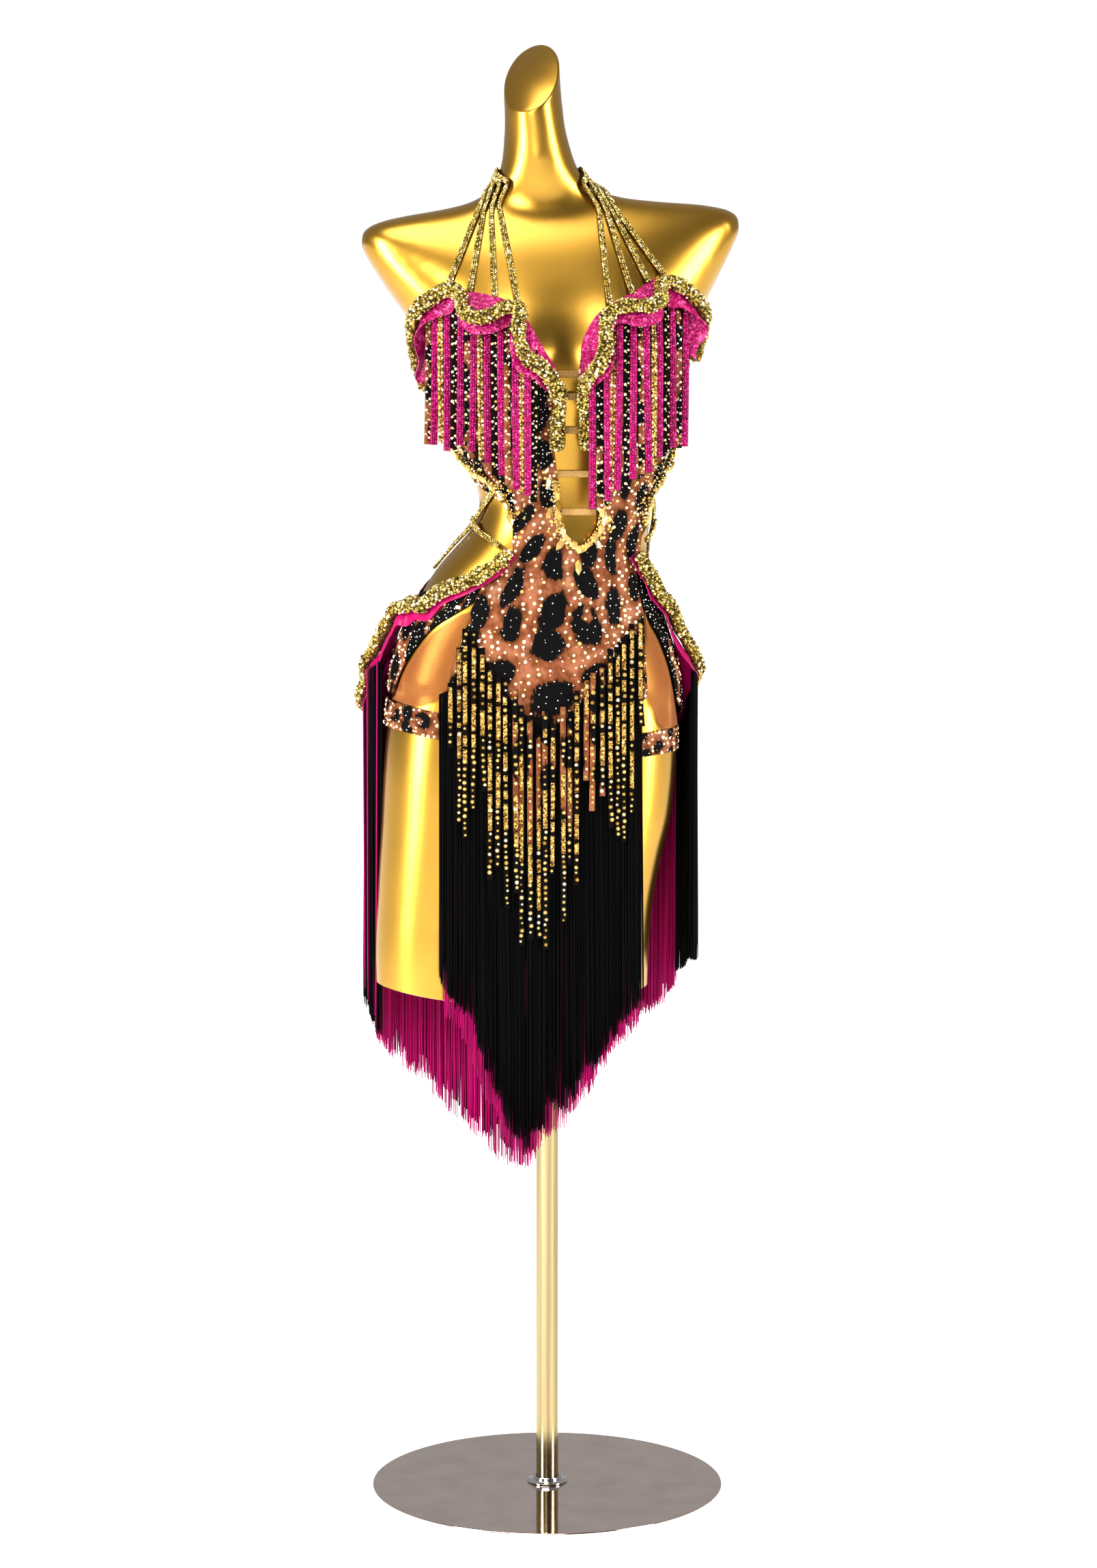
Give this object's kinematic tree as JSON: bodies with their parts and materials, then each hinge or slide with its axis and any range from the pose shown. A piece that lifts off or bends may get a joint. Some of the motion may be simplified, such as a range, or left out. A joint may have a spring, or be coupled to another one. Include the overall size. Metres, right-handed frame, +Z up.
{
  "type": "latin dance dress on a dress form and stand",
  "caption": "Fringed halter-neck latin dance dress with open sides, cups, beaded flounces and a pointed skirt, on a slant-necked form with a pole and a round base.",
  "frame": {"origin": "centre of the round base plate's underside", "axes": "+Z up along the pole, -Y out of the front of the stand, +X to the right as seen from the front; the form itself is turned about 7 degrees towards +X"},
  "size_m": [0.4245, 0.395, 1.6111],
  "materials": {
    "base": "mirror-polished steel plate with a warm grey tone",
    "collar": "polished collar",
    "pole": "polished pale gold tube",
    "form": "satin metallic gold paint over a fibreglass shell",
    "print": "tan stretch cloth with a dark animal print and scattered rhinestones",
    "mesh": "sheer nude stretch mesh",
    "satin": "hot pink satin",
    "beads": "gold beads and rhinestones on a cord",
    "elastic": "gold-beige braided elastic",
    "bust_fringe": "beaded pink strips alternating with printed rhinestone strips",
    "gold_fringe": "strips set with gold sequins and rhinestones",
    "black_fringe": "glossy black chainette fringe",
    "pink_fringe": "hot pink chainette fringe"
  },
  "bodies": {
    "root": {"base_plate": "base", "pole_collar": "collar", "stand_pole": "pole", "form_body": "form", "front_panel": "print", "seat_panel": "print", "bodice_left": "print", "bodice_right": "print", "back_band": "print", "leg_band_left": "print", "leg_band_right": "print", "mesh_leg_left": "mesh", "mesh_leg_right": "mesh", "bust_flounce_left": "satin", "bust_flounce_right": "satin", "hip_flounce_left": "satin", "hip_flounce_right": "satin", "bust_rope_left": "beads", "bust_rope_right": "beads", "hip_rope_left": "beads", "hip_rope_right": "beads", "plunge_trim": "beads", "side_trim_left": "beads", "side_trim_right": "beads", "neck_band": "beads", "neck_strap_left_1": "beads", "neck_strap_left_2": "beads", "neck_strap_left_3": "beads", "neck_strap_left_4": "beads", "neck_strap_right_1": "beads", "neck_strap_right_2": "beads", "neck_strap_right_3": "beads", "neck_strap_right_4": "beads", "side_strap_left": "beads", "side_strap_right": "beads", "waist_strap_left": "beads", "waist_strap_right": "beads", "cross_strap_1": "elastic", "cross_strap_2": "elastic", "cross_strap_3": "elastic", "cross_strap_4": "elastic", "cross_strap_5": "elastic", "bust_fringe_left": "bust_fringe", "bust_fringe_right": "bust_fringe", "gold_fringe": "gold_fringe", "front_fringe_black": "black_fringe", "front_fringe_pink": "pink_fringe", "side_fringe_left": "black_fringe", "side_fringe_right": "black_fringe", "back_fringe_black": "black_fringe", "back_fringe_pink": "pink_fringe"}
  },
  "joints": []
}
